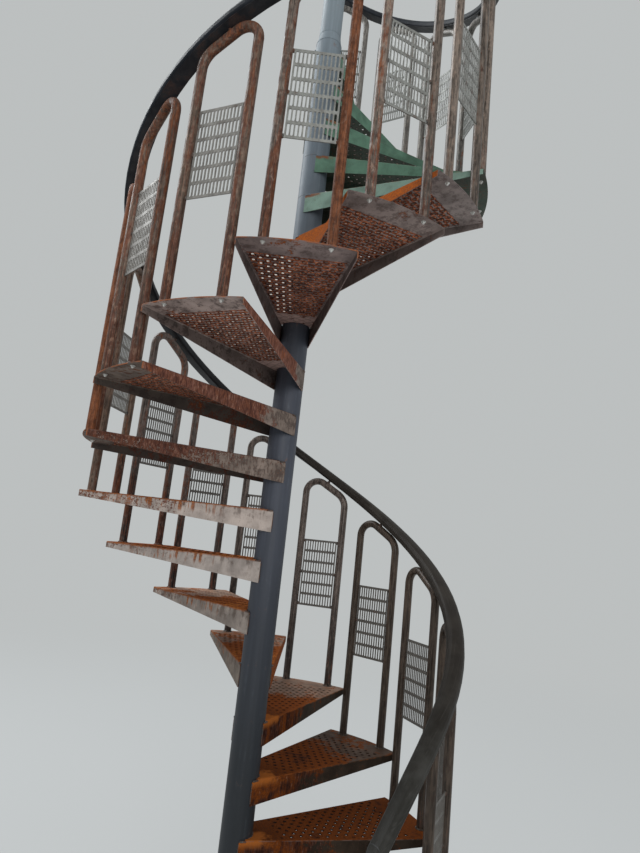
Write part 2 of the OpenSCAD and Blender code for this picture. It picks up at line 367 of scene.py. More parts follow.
# The four faces of a tread: top, clockwise and counter-clockwise flange, and underside
Look = namedtuple("Look", "top cw ccw under")

BROWN_SIDE = Face(STEEL_DARK, 0.50, 0.50, 0.30)
BROWN_UNDER = Face(STEEL_BAND, 0.60, 0.50, 0.20)
BROWN_TOP = Face(RUST_BROWN, 0.65, 0.65, 0.40)
BAND_SIDE = Face(STEEL_BAND, 0.55, 0.55, 0.30)
# The front flanges and tops of the lowest steps, here and in the table below, are dark partly in their rust's
# own colour and partly from painted shade.
DARK_FRONT = Face((0.036, 0.026, 0.019), 0.75, 0.30, 0.50, 0.10, 0.45, 0.50)
ORANGE_SIDE = Face(RUST_BROWN, 0.98, 0.92, 1.15, bright=1.50)
UPPER_SIDE = Face(STEEL_BAND, 0.45, 0.45, 0.15)
DARK_RUST_AND_SHADE_TOP = Face((0.070, 0.042, 0.028), 0.98, 0.80, 0.80, 0.35, 0.70, 0.62)
DARK_RUST_AND_SHADE_LOOK = Look(DARK_RUST_AND_SHADE_TOP, DARK_FRONT, BROWN_SIDE, BROWN_UNDER)
GREEN_TOP = Face(GREEN, 0.20, 0.20, 0.30)
GREEN_SIDE = Face(GREEN, 0.20, 0.08, 0.80, 0.02, 0.12)
GREEN_UNDER = Face(GREEN_DEEP, 0.32, 0.32, 0.20)
PALE_SIDE = Face(GREEN_PALE, 0.18, 0.06, 0.80, 0.02, 0.12)
GREEN_LOOK = Look(GREEN_TOP, GREEN_SIDE, GREEN_SIDE, GREEN_UNDER)

TREAD_LOOKS = {
    1: DARK_RUST_AND_SHADE_LOOK, 2: DARK_RUST_AND_SHADE_LOOK, 3: DARK_RUST_AND_SHADE_LOOK,
    4: Look(
        Face((0.100, 0.064, 0.046), 0.98, 0.42, 0.80, 0.22, 0.58, 0.66), DARK_FRONT,
        BROWN_SIDE, BROWN_UNDER),
    5: Look(
        Face((0.280, 0.178, 0.128), 0.98, 0.42, 0.90, 0.22, 0.50, 0.90), DARK_FRONT,
        Face((0.160, 0.126, 0.102), 0.32, 0.42, 0.25, 0.15, 0.55), BROWN_UNDER),
    6: Look(
        Face((0.280, 0.180, 0.130), 0.98, 0.45, 0.95, 0.25, 0.50, 1.2), Face(RUST_BROWN, 0.90, 0.70, 0.98),
        Face((0.180, 0.146, 0.120), 0.22, 0.30, 0.20, 0.10, 0.60), BROWN_UNDER),
    7: Look(
        Face((0.430, 0.280, 0.205), 0.98, 0.45, 0.98, 0.25, 0.50, 1.2), Face(STEEL_BAND, 0.60, 0.50, 0.40),
        Face((0.275, 0.232, 0.204), 0.24, 0.38, 0.20, 0.25, 0.65), BROWN_UNDER),
    8: Look(
        Face(STEEL_BAND, 0.90, 0.70, 0.90, 0.30, 0.60), BAND_SIDE,
        Face((0.375, 0.322, 0.290), 0.16, 0.38, 0.30, 0.25, 0.60), BROWN_UNDER),
    9: Look(
        Face(STEEL_BAND, 0.90, 0.80, 0.70, 0.30, 0.60), BAND_SIDE,
        Face((0.415, 0.350, 0.312), 0.14, 0.44, 0.34, 0.16, 0.44, 1.5), BROWN_UNDER),
    10: Look(
        BROWN_TOP, Face(STEEL_DARK, 0.35, 0.45, 0.10),
        Face(STEEL_END, 0.32, 0.62, 0.10, 0.10, 0.45, 1.25), Face(STEEL_WORN, 0.40, 0.45, 0.10, bright=1.2)),
    11: Look(
        BROWN_TOP, Face(STEEL_BAND, 0.30, 0.40, 0.10),
        Face(STEEL_END, 0.34, 0.84, 0.08, 0.12, 0.26, 1.75), Face(STEEL_WORN, 0.42, 0.36, 0.12, bright=1.3)),
    12: Look(
        BROWN_TOP, Face(STEEL_WORN, 0.35, 0.38, 0.10),
        Face(STEEL_END, 0.38, 0.90, 0.12, 0.08, 0.18, 2.3),
        Face((0.390, 0.300, 0.268), 0.36, 0.26, 0.10, bright=1.4)),
    13: Look(
        BROWN_TOP, Face(STEEL_BAND, 0.42, 0.40, 0.15),
        Face(STEEL_BAND, 0.55, 0.55, 0.20), Face((0.270, 0.205, 0.190), 0.38, 0.26, 0.08, bright=1.4)),
    14: Look(
        BROWN_TOP, ORANGE_SIDE,
        UPPER_SIDE, Face((0.290, 0.226, 0.204), 0.40, 0.26, 0.08, bright=1.4)),
    15: Look(
        BROWN_TOP, ORANGE_SIDE,
        UPPER_SIDE, Face((0.300, 0.248, 0.230), 0.36, 0.26, 0.08, bright=1.4)),
    16: Look(GREEN_TOP, PALE_SIDE, PALE_SIDE, GREEN_UNDER),
}

# Steps that look alike in one respect
LAST_RUSTY = 15
SPECKLED = range(6, 11)
SCRAPED = range(6, 13)
PAINTED_LIGHT_STEPS = range(12, 14)
ORANGE_FOLDS = (*range(4, 10), *range(14, STEPS + 1))


class TreadPaint(Paint):
    """The look of one tread: u runs out from the column, v across and h up from its top."""

    def __init__(self, step):
        super().__init__(f"sheet_{step:02d}")
        self.step = step
        self.look = TREAD_LOOKS.get(step, GREEN_LOOK)
        local = self.turned(self.where(), -turn_of(step))
        local = self.vector("SUBTRACT", local, (0.0, 0.0, step * RISE))
        self.u, self.v, self.h = self.split(local)

        # shares that tell the faces apart
        _, ny, self.nz = self.split(self.turned(self.normal(), -turn_of(step)))
        self.flatness = self.calc("ABSOLUTE", self.nz)
        self.top = self.ramp(self.nz, 0.55, 0.85)
        self.below = self.fade(self.h, -0.0026, -0.0016)
        self.ccw = self.mul(self.ramp(ny, 0.3, 0.6), self.ramp(self.v, -0.001, 0.001))
        self.cw = self.mul(self.fade(ny, -0.6, -0.3), self.fade(self.v, -0.001, 0.001))
        self.side = self.add(self.ccw, self.cw)

        # noises from the size of a hand down to a grain, and two that run down the flanges
        self.seeded = self.vector("ADD", local, (step * 3.7, step * 1.9, step * 2.3))
        self.large = self.noise(self.seeded, 5.0, 3.0)
        self.patch = self.noise(self.seeded, 13.0, 4.0, 0.55, 0.3)
        self.medium = self.noise(self.seeded, 34.0, 5.0, 0.62)
        self.fine = self.noise(self.seeded, 150.0, 4.0, 0.7)
        self.grain = self.noise(self.seeded, 420.0, 2.0, 0.6)
        self.runs = self.noise(self.drawn_out(self.seeded, 0.10), 60.0, 3.0, 0.6)
        self.scars = self.noise(self.drawn_out(self.seeded, 0.22), 170.0, 4.0, 0.65)
        self.find_holes()

    def find_holes(self):
        """Distance to the nearest hole of the staggered pattern, and what lies in the pattern."""
        past_centre = 0.011
        column = self.calc("ROUND", self.calc("DIVIDE", self.v, COLUMN_PITCH))
        odd = self.calc("MODULO", self.calc("ABSOLUTE", column), 2.0)
        along = self.sub(self.sub(LAST_R, self.mul(odd, ROW_PITCH / 2)), self.u)
        part = self.calc("DIVIDE", along, ROW_PITCH)
        du = self.mul(self.sub(part, self.calc("ROUND", part)), ROW_PITCH)
        dv = self.sub(self.v, self.mul(column, COLUMN_PITCH))
        self.ring = self.vector("LENGTH", self.joined(du, dv, 0.0))
        half_width = self.add(SIDE_OFFSET, self.mul(self.u, math.sin(SIDE_TURN)))
        half_width = self.mul(half_width, 1 / math.cos(SIDE_TURN))
        to_border = self.sub(self.sub(half_width, MARGIN - past_centre), self.calc("ABSOLUTE", self.v))
        inside = self.mul(
            self.fade(self.u, LAST_R + past_centre, LAST_R + 0.013),
            self.ramp(self.u, FIRST_R - 0.014, FIRST_R - 0.012),
            self.ramp(to_border, 0.0, 0.002))
        self.level = self.ramp(self.flatness, 0.7, 0.9)
        self.flat = self.mul(inside, self.level)
        self.wall = self.mul(
            inside,
            self.sub(1.0, self.level),
            self.fade(self.ring, HOLE_R + 0.0005, HOLE_R + 0.0009))

    def by_face(self, mixer, value_of):
        """A value that differs from face to face of the tread."""
        value = mixer(self.ccw, value_of(self.look.under), value_of(self.look.ccw))
        value = mixer(self.cw, value, value_of(self.look.cw))
        return mixer(self.top, value, value_of(self.look.top))

    def underside(self):
        """1 on what is neither top nor outer side of a flange."""
        return self.mul(self.sub(1.0, self.side), self.sub(1.0, self.top))

    def down_sides(self, elsewhere, on_sides):
        """One value on the flanges' outer sides and another elsewhere."""
        return self.blend(self.side, elsewhere, on_sides)


def bare_metal(p):
    """Bare steel or paint with cloudy dirt and darker stains."""
    colour = p.by_face(p.mix, lambda face: face.bare)
    colour = p.times(colour, p.ramp(p.patch, 0.32, 0.68, 0.70, 1.16))
    stain = p.ramp(p.weigh((p.medium, 0.6), (p.large, 0.4)), 0.53, 0.61)
    stained = p.mix(0.4, colour, (0.050, 0.030, 0.026))
    return p.lay(colour, stained, stain, 0.45 if p.step <= LAST_RUSTY else 0.18)


def blotches_and_painted_light(p, colour):
    """Blotches on the undersides seen from below, painted shade on the flanges' inner faces, and on some
    steps painted light near the column.
    """
    under = p.underside()
    blotch = p.ramp(p.weigh((p.medium, 0.6), (p.fine, 0.4)), 0.49, 0.57)
    strength = 0.62 if p.step < 13 else 0.40
    colour = p.lay(colour, (0.070, 0.050, 0.045), under, blotch, strength)
    # Painted shade on the flanges' inner faces.
    upright = p.fade(p.flatness, 0.3, 0.6)
    colour = p.lay(colour, (0.034, 0.027, 0.025), under, upright, 0.58)
    # Painted light: a pale patch on the inner underside near the column, where the trough between the flanges
    # is in shade.
    if p.step in PAINTED_LIGHT_STEPS:
        painted_light_patch = p.mul(p.ramp(p.flatness, 0.6, 0.9), p.fade(p.u, 0.13, 0.17))
        colour = p.lay(colour, (0.620, 0.440, 0.390), under, painted_light_patch)
    return colour


def mottled(p, colour):
    """Dark mottling down the flanges."""
    mottle = p.ramp(p.weigh((p.scars, 0.5), (p.medium, 0.5)), 0.46, 0.56)
    return p.lay(colour, (0.062, 0.046, 0.040), p.side, mottle, 0.70)


def rust_share(p):
    """Where rust lies: in patches, in runs below the upper edge and in scars down the flanges."""
    field = p.weigh(
        (p.large, 0.22), (p.patch, 0.24), (p.medium, 0.26), (p.fine, 0.14),
        (p.down_sides(p.fine, p.scars), 0.14))
    if p.step in SPECKLED:
        speckle = p.weigh((p.fine, 0.36), (p.scars, 0.24), (p.grain, 0.20), (p.medium, 0.20))
        speckle = p.add(speckle, p.ramp(p.h, -0.030, 0.002, 0.0, 0.035))
        field = p.blend(p.ccw, field, speckle)

    def cover_of(face):
        return p.ramp(p.u, face.turn_from, face.turn_to, face.rust_in, face.rust_out)

    cover = p.by_face(p.blend, cover_of)
    return p.around(field, p.sub(0.690, p.mul(cover, 0.38)), 0.022)


def rust_colour(p):
    """Brown and red rust, with glowing orange where it is warm."""
    hot = p.by_face(p.blend, lambda face: face.orange)
    bright = p.by_face(p.blend, lambda face: face.bright)
    warm = p.weigh((p.patch, 0.45), (p.large, 0.25), (p.down_sides(p.medium, p.runs), 0.30))
    orange = p.around(warm, p.sub(0.66, p.mul(hot, 0.30)), 0.06)
    brown = p.mix(p.ramp(p.medium, 0.4, 0.62), RUST_BROWN, RUST_RED)
    red = p.mix(p.ramp(p.down_sides(p.fine, p.scars), 0.36, 0.64), RUST_DARK, brown)
    glow = p.mix(p.ramp(p.fine, 0.34, 0.66), RUST_EMBER, RUST_ORANGE)
    return p.times(p.mix(orange, red, glow), bright)


def scrapes(p, colour, rust, scrape):
    """Pale scrapes in the rust and rusty pits in the bare metal, down the flanges."""
    colour = p.lay(colour, (0.300, 0.215, 0.165), scrape, 0.55 if p.step in SCRAPED else 0.22)
    pits = p.ramp(p.weigh((p.scars, 0.5), (p.grain, 0.5)), 0.575, 0.63)
    return p.lay(colour, (0.090, 0.050, 0.036), p.sub(1.0, rust), p.side, pits, 0.50)


def orange_inside(p, colour):
    """Fresh orange rust on top, near the column."""
    near_column = p.fade(p.add(p.u, p.mul(p.patch, 0.30)), 0.30, 0.46)
    fresh = p.mix(p.ramp(p.fine, 0.4, 0.6), (0.300, 0.085, 0.018), (0.640, 0.215, 0.045))
    return p.lay(colour, fresh, p.top, near_column, p.ramp(p.medium, 0.40, 0.58), 0.80)


def lowest_steps(p, colour):
    """Painted shade that darkens the tops near the column, and orange inner ends of the clockwise flanges."""
    # Painted shade on the tops, darkest near the column.
    dark = p.ramp(p.add(p.u, p.mul(p.large, 0.06)), 0.10, 0.26, 0.50, 0.0)
    colour = p.lay(colour, (0.022, 0.010, 0.006), p.top, dark)
    inner_end = p.fade(p.add(p.u, p.mul(p.medium, 0.16)), 0.150, 0.190)
    upper_edge = p.ramp(p.h, -0.034, -0.004)
    clockwise = p.ramp(p.v, 0.0, -0.02)
    return p.lay(colour, (0.360, 0.110, 0.022), inner_end, upper_edge, clockwise, 0.75)


def chipped_paint(p, colour):
    """Rust chips at the column end of the green flanges, and dust on the undersides."""
    near_column = p.fade(p.add(p.u, p.mul(p.medium, 0.10)), 0.085, 0.115)
    upper_edge = p.ramp(p.add(p.h, p.mul(p.medium, 0.03)), -0.006, 0.004)
    colour = p.lay(colour, (0.210, 0.066, 0.030), near_column, upper_edge, p.side, 0.85)
    dust = p.ramp(p.weigh((p.medium, 0.5), (p.fine, 0.5)), 0.44, 0.56)
    return p.lay(colour, (0.110, 0.098, 0.080), p.underside(), dust, 0.55)


def rusty_web(p, colour):
    """Seen from below, rust spreads from hole to hole and leaves the outer band bare."""
    spread = p.add(p.ring, p.mul(p.sub(p.medium, 0.5), 0.010))
    outline = p.mul(p.ramp(spread, 0.0115, 0.0140), p.fade(spread, 0.0150, 0.0185))
    within = p.mul(p.below, p.level, p.fade(p.u, LAST_R + 0.016, LAST_R + 0.019))
    colour = p.lay(colour, (0.062, 0.030, 0.022), outline, within, 0.55)

    flakes = p.noise(p.seeded, 82.0, 3.0, 0.62)
    red = p.mix(p.ramp(p.patch, 0.36, 0.60), (0.150, 0.040, 0.022), (0.290, 0.078, 0.034))
    red = p.mix(p.ramp(flakes, 0.52, 0.61), red, (0.640, 0.225, 0.110))
    red = p.mix(p.ramp(flakes, 0.37, 0.48, 0.95, 0.0), red, (0.040, 0.016, 0.011))
    web = p.mul(p.flat, p.below, p.fade(spread, 0.0140, 0.0170))
    colour = p.lay(colour, red, web, 0.94)
    between = p.mul(p.ramp(p.ring, 0.0110, 0.0135), p.ramp(p.medium, 0.42, 0.56))
    return p.lay(colour, RUST_DARK, web, between, 0.75)


def painted_hole_light(p):
    """How much painted light the walls of the holes carry: pale walls that stand in for light seen through
    the holes.
    """
    uneven = p.ramp(p.medium, 0.40, 0.60, 0.35, 1.0)
    if p.step == 13:
        return p.ramp(p.v, -0.040, 0.005, 1.0, 0.10)
    if p.step > LAST_RUSTY:
        return p.mul(uneven, 0.30)
    if p.step in (12, 14):
        return p.mul(uneven, 0.60 if p.step == 12 else 0.28)
    return {11: 0.12, 15: 0.08}.get(p.step, 0.0)


def holes_with_painted_shade(p, colour):
    """A ring of painted shade round each hole, and the hole's wall, pale where painted light lies on it."""
    # Painted shade that darkens the pressed cone round each hole.
    painted_cone_shade = p.mix(0.75, colour, (0.016, 0.009, 0.007))
    round_hole = p.fade(p.ring, HOLE_R + 0.0008, HOLE_R + 0.0042)
    colour = p.lay(colour, painted_cone_shade, p.flat, round_hole, 0.85)
    # The walls are dark, and pale where painted light stands in for light seen through the holes.
    dark = (0.075, 0.032, 0.020) if p.step > 8 else (0.024, 0.015, 0.012)
    pale = p.mix(p.ramp(p.fine, 0.4, 0.6), (0.70, 0.60, 0.50), (0.88, 0.84, 0.79))
    return p.lay(colour, p.mix(painted_hole_light(p), dark, pale), p.wall)


def rusty_rim(p, colour):
    """Rust along the sheet's cut outer edge."""
    radius = p.vector("LENGTH", p.joined(p.u, p.v, 0.0))
    outer_edge = p.ramp(radius, TREAD_R - 0.0040, TREAD_R - 0.0015)
    return p.lay(colour, (0.300, 0.105, 0.045), outer_edge, p.ramp(p.medium, 0.40, 0.54), 0.80)


def worn_folds(p, colour):
    """Wear along the folds between top and flanges."""
    fold = p.mul(p.sub(1.0, p.top), p.ramp(p.nz, 0.12, 0.3), p.sub(1.0, p.wall))
    worn = (0.230, 0.072, 0.022) if p.step in ORANGE_FOLDS else (0.150, 0.098, 0.080)
    return p.lay(colour, worn, fold, p.ramp(p.medium, 0.42, 0.58), 0.60)


def drips(p, colour):
    """Dark smears and orange runs that start at the upper edge of the pale flanges."""
    smear = p.ramp(p.weigh((p.runs, 0.5), (p.medium, 0.5)), 0.49, 0.58)
    upper = p.ramp(p.add(p.h, p.mul(p.large, 0.10)), -0.010, 0.045)
    colour = p.lay(colour, (0.085, 0.062, 0.050), smear, upper, p.ccw, 0.60)

    reach = p.add(p.h, p.mul(p.large, 0.050), p.mul(p.runs, 0.050))
    drip = p.mul(p.ramp(p.runs, 0.520, 0.585), p.ramp(reach, 0.006, 0.026))
    middle = p.mul(p.ramp(p.u, 0.16, 0.26), p.ramp(p.u, 0.46, 0.62, 1.0, 0.15))
    edge = p.ramp(p.add(p.h, p.mul(p.medium, 0.010)), -0.004, 0.001)
    share = p.calc("MAXIMUM", p.mul(drip, p.ccw, middle), p.mul(p.ccw, edge, 0.8))
    run = p.mix(p.ramp(p.fine, 0.4, 0.6), (0.140, 0.045, 0.020), (0.330, 0.110, 0.030))
    return p.lay(colour, run, share, 0.85)


# Layers under and over the rust, each with the steps that have it
UNDER_RUST = ((blotches_and_painted_light, range(10, 16)), (mottled, range(10, 13)))
OVER_RUST = (
    (orange_inside, range(6, 9)),
    (lowest_steps, range(1, 6)),
    (chipped_paint, range(LAST_RUSTY + 1, STEPS + 1)),
    (rusty_web, range(1, LAST_RUSTY + 1)),
    (holes_with_painted_shade, range(1, STEPS + 1)),
    (rusty_rim, range(10, 14)),
    (worn_folds, range(1, STEPS + 1)),
    (drips, range(6, 10)),
)


def tread_material(step):
    """Folded sheet, in layers from the bare metal up."""
    p = TreadPaint(step)
    colour = bare_metal(p)
    for layer, steps in UNDER_RUST:
        if step in steps:
            colour = layer(p, colour)
    rust = rust_share(p)
    colour = p.mix(rust, colour, rust_colour(p))
    scrape = p.mul(rust, p.side, p.ramp(p.weigh((p.scars, 0.7), (p.grain, 0.3)), 0.575, 0.64))
    colour = scrapes(p, colour, rust, scrape)
    for layer, steps in OVER_RUST:
        if step in steps:
            colour = layer(p, colour)

    smooth = p.ramp(p.medium, 0.3, 0.7, 0.42, 0.60)
    rough = p.blend(rust, smooth, p.ramp(p.fine, 0.3, 0.7, 0.74, 0.94))
    height = p.add(p.mul(rust, p.fine, 0.45), p.weigh((p.medium, 0.15), (scrape, -0.12)))
    gloss = 0.14
    if step <= LAST_RUSTY:
        pressed = p.ramp(p.ring, HOLE_R + 0.0005, HOLE_R + 0.0060, 0.0, 1.5)
        height = p.add(height, p.mul(p.flat, p.below, pressed))
        gloss = 0.02
    return p.finish(colour, rough, height, 0.0012, gloss=gloss)


# The looks of tubes, column, panels and rail

# A group of hoops: the tube's bare colour, then for each leg a tone from bare steel at 0 to
# orange rust at 1 and a brightness, and how much of its brightness the foot keeps
Tube = namedtuple("Tube", "bare tones shades foot_dark")

TUBES = [
    # The lowest group's dark bare colour is partly the tubes' own colour and partly painted shade.
    Tube(
        (0.050, 0.037, 0.028), (0.15, 0.20, 0.10, 0.15, 0.10, 0.15, 0.10, 0.10),
        (0.90, 0.90, 1.00, 1.05, 1.25, 1.20, 1.15, 1.05), 0.85),
    Tube(
        (0.115, 0.092, 0.080), (0.05, 0.05, 0.15, 0.20, 0.35, 0.35, 0.40, 0.35),
        (0.95, 0.85, 1.10, 1.15, 1.10, 1.15, 1.20, 1.10), 0.35),
    Tube(
        (0.158, 0.108, 0.079), (0.34, 0.38, 0.72, 0.92, 0.66, 0.60, 0.62, 0.60),
        (1.05, 1.10, 1.10, 1.15, 1.10, 0.80, 0.88, 0.85), 0.70),
    Tube(
        (0.198, 0.156, 0.127), (0.54, 1.00, 0.32, 0.26, 0.20, 0.24, 0.14, 0.12),
        (0.78, 0.88, 1.02, 0.64, 0.84, 0.58, 0.82, 0.88), 0.75),
    Tube(
        (0.165, 0.153, 0.138), (0.14, 0.18, 0.12, 0.16, 0.12, 0.15, 0.10, 0.10),
        (0.80, 1.00, 1.00, 1.00, 1.00, 1.00, 1.00, 1.00), 0.80),
]

# The bare colour of each group of panels and how much dirt dulls it
PANELS = [
    ((0.105, 0.096, 0.085), 0.75),
    ((0.120, 0.110, 0.101), 0.65),
    ((0.190, 0.180, 0.164), 0.50),
    ((0.200, 0.202, 0.188), 0.55),
    ((0.165, 0.168, 0.156), 0.55),
]


def tube_material(name, first, tube, seed):
    """Hoop tubes of one group, from the first step on: rust that streaks along each leg."""
    p = Paint(name)
    where = p.where()
    x, y, z = p.split(p.turned(where, -turn_of(first)))
    leg = p.calc("DIVIDE", p.calc("ARCTAN2", y, x), math.radians(STEP_ANGLE) / 2)
    tone = tube.tones[0]
    shade = tube.shades[0]
    for k in range(1, len(tube.tones)):
        tone = p.add(tone, p.ramp(leg, k - 1.2, k - 0.8, 0.0, tube.tones[k] - tube.tones[k - 1]))
        shade = p.add(shade, p.ramp(leg, k - 1.2, k - 0.8, 0.0, tube.shades[k] - tube.shades[k - 1]))
    hoop = p.calc("ROUND", p.mul(leg, 0.5))
    foot = p.sub(z, p.mul(p.add(hoop, float(first)), RISE))

    seeded = p.vector("ADD", where, (seed, seed * 0.7, seed * 1.3))
    each = p.noise(p.drawn_out(seeded, 0.10), 6.5, 1.0, 0.4)
    streak = p.noise(p.drawn_out(seeded, 0.045), 210.0, 4.0, 0.62)
    band = p.noise(p.drawn_out(seeded, 0.12), 60.0, 4.0, 0.6)
    fleck = p.noise(p.drawn_out(seeded, 0.10), 260.0, 2.0, 0.5)
    flake = p.noise(p.drawn_out(seeded, 0.40), 105.0, 4.0, 0.66)
    medium = p.noise(seeded, 38.0, 5.0, 0.62)
    fine = p.noise(seeded, 260.0, 3.0, 0.6)

    dirt = p.add(p.ramp(streak, 0.36, 0.64, 0.30, 1.10), p.ramp(band, 0.38, 0.62, 0.0, 0.60))
    colour = p.times(tube.bare, p.mul(dirt, p.ramp(foot, 0.05, 0.55, tube.foot_dark, 1.0)))
    field = p.weigh((each, 0.22), (streak, 0.30), (band, 0.26), (medium, 0.22))
    field = p.add(field, p.ramp(foot, 0.04, 0.40, 0.045, 0.0))
    rust = p.around(field, p.sub(0.640, p.mul(tone, 0.26)), 0.035)
    warm = p.weigh((each, 0.45), (band, 0.55))
    orange = p.around(warm, p.sub(0.70, p.mul(tone, 0.28)), 0.06)
    red = p.mix(p.ramp(streak, 0.36, 0.64), (0.045, 0.019, 0.012), (0.150, 0.062, 0.040))
    golden = p.ramp(p.weigh((streak, 0.6), (medium, 0.4)), 0.40, 0.60)
    gold = p.mix(golden, (0.090, 0.029, 0.012), (0.215, 0.074, 0.030))
    colour = p.mix(rust, colour, p.mix(orange, red, gold))

    flecks = p.ramp(p.weigh((fleck, 0.75), (band, 0.25)), 0.600, 0.66)
    colour = p.lay(colour, p.times(tube.bare, (2.2, 2.1, 2.0)), flecks, 0.30)
    flaked = p.mul(p.ramp(flake, 0.55, 0.64, 0.0, 0.42), p.sub(1.0, p.mul(orange, 0.65)))
    colour = p.lay(colour, p.times(tube.bare, (2.0, 1.8, 1.7)), flaked)
    colour = p.lay(colour, (0.034, 0.018, 0.013), p.ramp(flake, 0.36, 0.46, 0.55, 0.0))
    colour = p.times(colour, shade)
    rough = p.blend(rust, 0.34, p.ramp(fine, 0.3, 0.7, 0.52, 0.80))
    height = p.add(p.mul(rust, fine, 0.45), p.mul(streak, 0.25))
    return p.finish(colour, rough, height, 0.0005, 0.10, 0.22)


def column_material():
    """Painted steel, from near black at the foot to pale grey at the top; the darkening towards the foot is
    painted shade.
    """
    p = Paint("column_paint")
    where = p.where()
    _, _, z = p.split(where)
    streak = p.noise(p.drawn_out(where, 0.04), 95.0, 4.0, 0.55)
    wide = p.noise(p.drawn_out(where, 0.20), 16.0, 3.0)
    medium = p.noise(where, 26.0, 5.0, 0.6)
    fine = p.noise(where, 260.0, 3.0, 0.6)
    # Painted shade: the paint darkens from the top down to the foot.
    colour = p.mix(p.ramp(z, 0.6, 2.0), (0.017, 0.020, 0.024), (0.055, 0.061, 0.079))
    colour = p.mix(p.ramp(z, 2.2, 3.3), colour, (0.128, 0.157, 0.184))
    colour = p.mix(p.ramp(z, 3.5, 4.1), colour, (0.188, 0.226, 0.250))
    shade = p.add(p.ramp(streak, 0.32, 0.68, 0.92, 1.09), p.ramp(wide, 0.3, 0.7, -0.07, 0.08))
    colour = p.times(colour, shade)
    chalk = p.ramp(p.weigh((streak, 0.55), (medium, 0.45)), 0.55, 0.66)
    colour = p.lay(colour, (0.23, 0.26, 0.29), chalk, p.ramp(z, 1.0, 3.0, 0.04, 0.18))

    # paint cracked at the joints high up, rust smears where treads meet the column
    steps_up = p.calc("DIVIDE", z, RISE)
    near = p.mul(p.calc("ABSOLUTE", p.sub(steps_up, p.calc("ROUND", steps_up))), RISE)
    wavy = p.add(near, p.mul(p.sub(medium, 0.5), 0.006))
    high = p.mul(p.ramp(z, 2.80, 2.90), p.fade(z, 3.55, 3.65))
    crack = p.mul(p.fade(wavy, 0.0006, 0.0020), p.ramp(p.noise(where, 9.0, 2.0), 0.40, 0.50), high)
    colour = p.lay(colour, (0.022, 0.019, 0.019), crack, 0.85)
    smear = p.mul(p.fade(near, 0.0, 0.026), p.ramp(p.add(medium, p.mul(streak, 0.4)), 0.80, 0.90))
    colour = p.lay(colour, (0.150, 0.062, 0.032), smear, p.ramp(z, 0.8, 2.8, 0.35, 0.65))
    rough = p.ramp(p.add(streak, p.mul(fine, 0.4)), 0.4, 1.0, 0.42, 0.64)
    height = p.weigh((medium, 0.25), (fine, 0.08), (crack, -0.8))
    return p.finish(colour, rough, height, 0.0006, 0.0, 0.30)


def panel_material(name, bare, dull, seed):
    """Zinc with its spangle, dulled by dirt and spotted with rust."""
    p = Paint(name)
    where = p.vector("ADD", p.where(), (seed, seed, seed))
    cells = p.node("TexVoronoi", {"Vector": where, "Scale": 160.0}, "Color")
    spangle = p.split(cells)[0]
    medium = p.noise(where, 26.0, 5.0, 0.6)
    fine = p.noise(where, 260.0, 3.0, 0.6)
    colour = p.mix(p.ramp(spangle, 0.2, 0.8), bare, tuple(c * 1.22 for c in bare))
    colour = p.lay(colour, (0.105, 0.095, 0.085), p.ramp(medium, 0.42, 0.68), dull)
    spots = p.ramp(p.weigh((medium, 0.7), (fine, 0.3)), 0.60, 0.66)
    colour = p.lay(colour, (0.115, 0.062, 0.042), spots, 0.65)
    rough = p.ramp(p.add(medium, p.mul(fine, 0.5)), 0.5, 1.1, 0.40, 0.68)
    return p.finish(colour, rough, p.weigh((fine, 0.2), (medium, 0.2)), 0.0004, 0.35)


def grip_material():
    """Dark plastic with scratches that run along the rail; it is paler low down."""
    p = Paint("grip_dark")
    where = p.where()
    x, y, z = p.split(where)
    angle = p.calc("ARCTAN2", y, x)
    radius = p.vector("LENGTH", p.joined(x, y, 0.0))
    climb = p.sub(z, p.mul(angle, RISE / math.radians(STEP_ANGLE)))
    along = p.joined(p.mul(angle, 1.2), p.mul(radius, 60.0), p.mul(climb, 60.0))
    scratch = p.noise(along, 4.0, 4.0, 0.6)
    medium = p.noise(where, 12.0, 4.0, 0.6)
    fine = p.noise(where, 300.0, 3.0, 0.6)
    cloudy = p.ramp(medium, 0.35, 0.7)
    low = p.mix(cloudy, (0.021, 0.020, 0.017), (0.046, 0.045, 0.041))
    middle = p.mix(cloudy, (0.018, 0.014, 0.011), (0.030, 0.025, 0.020))
    upper = p.mix(cloudy, (0.011, 0.013, 0.017), (0.020, 0.023, 0.029))
    colour = p.mix(p.ramp(z, 0.90, 1.30), low, middle)
    colour = p.mix(p.ramp(z, 1.9, 2.7), colour, upper)
    colour = p.lay(colour, (0.095, 0.090, 0.082), p.ramp(scratch, 0.56, 0.70), 0.20)
    colour = p.lay(colour, (0.15, 0.145, 0.135), p.ramp(fine, 0.62, 0.74), 0.12)
    rough = p.ramp(p.add(medium, p.mul(scratch, 0.5)), 0.5, 1.1, 0.42, 0.58)
    return p.finish(colour, rough, p.weigh((fine, 0.15), (scratch, 0.2)), 0.0004, 0.0, 0.14)


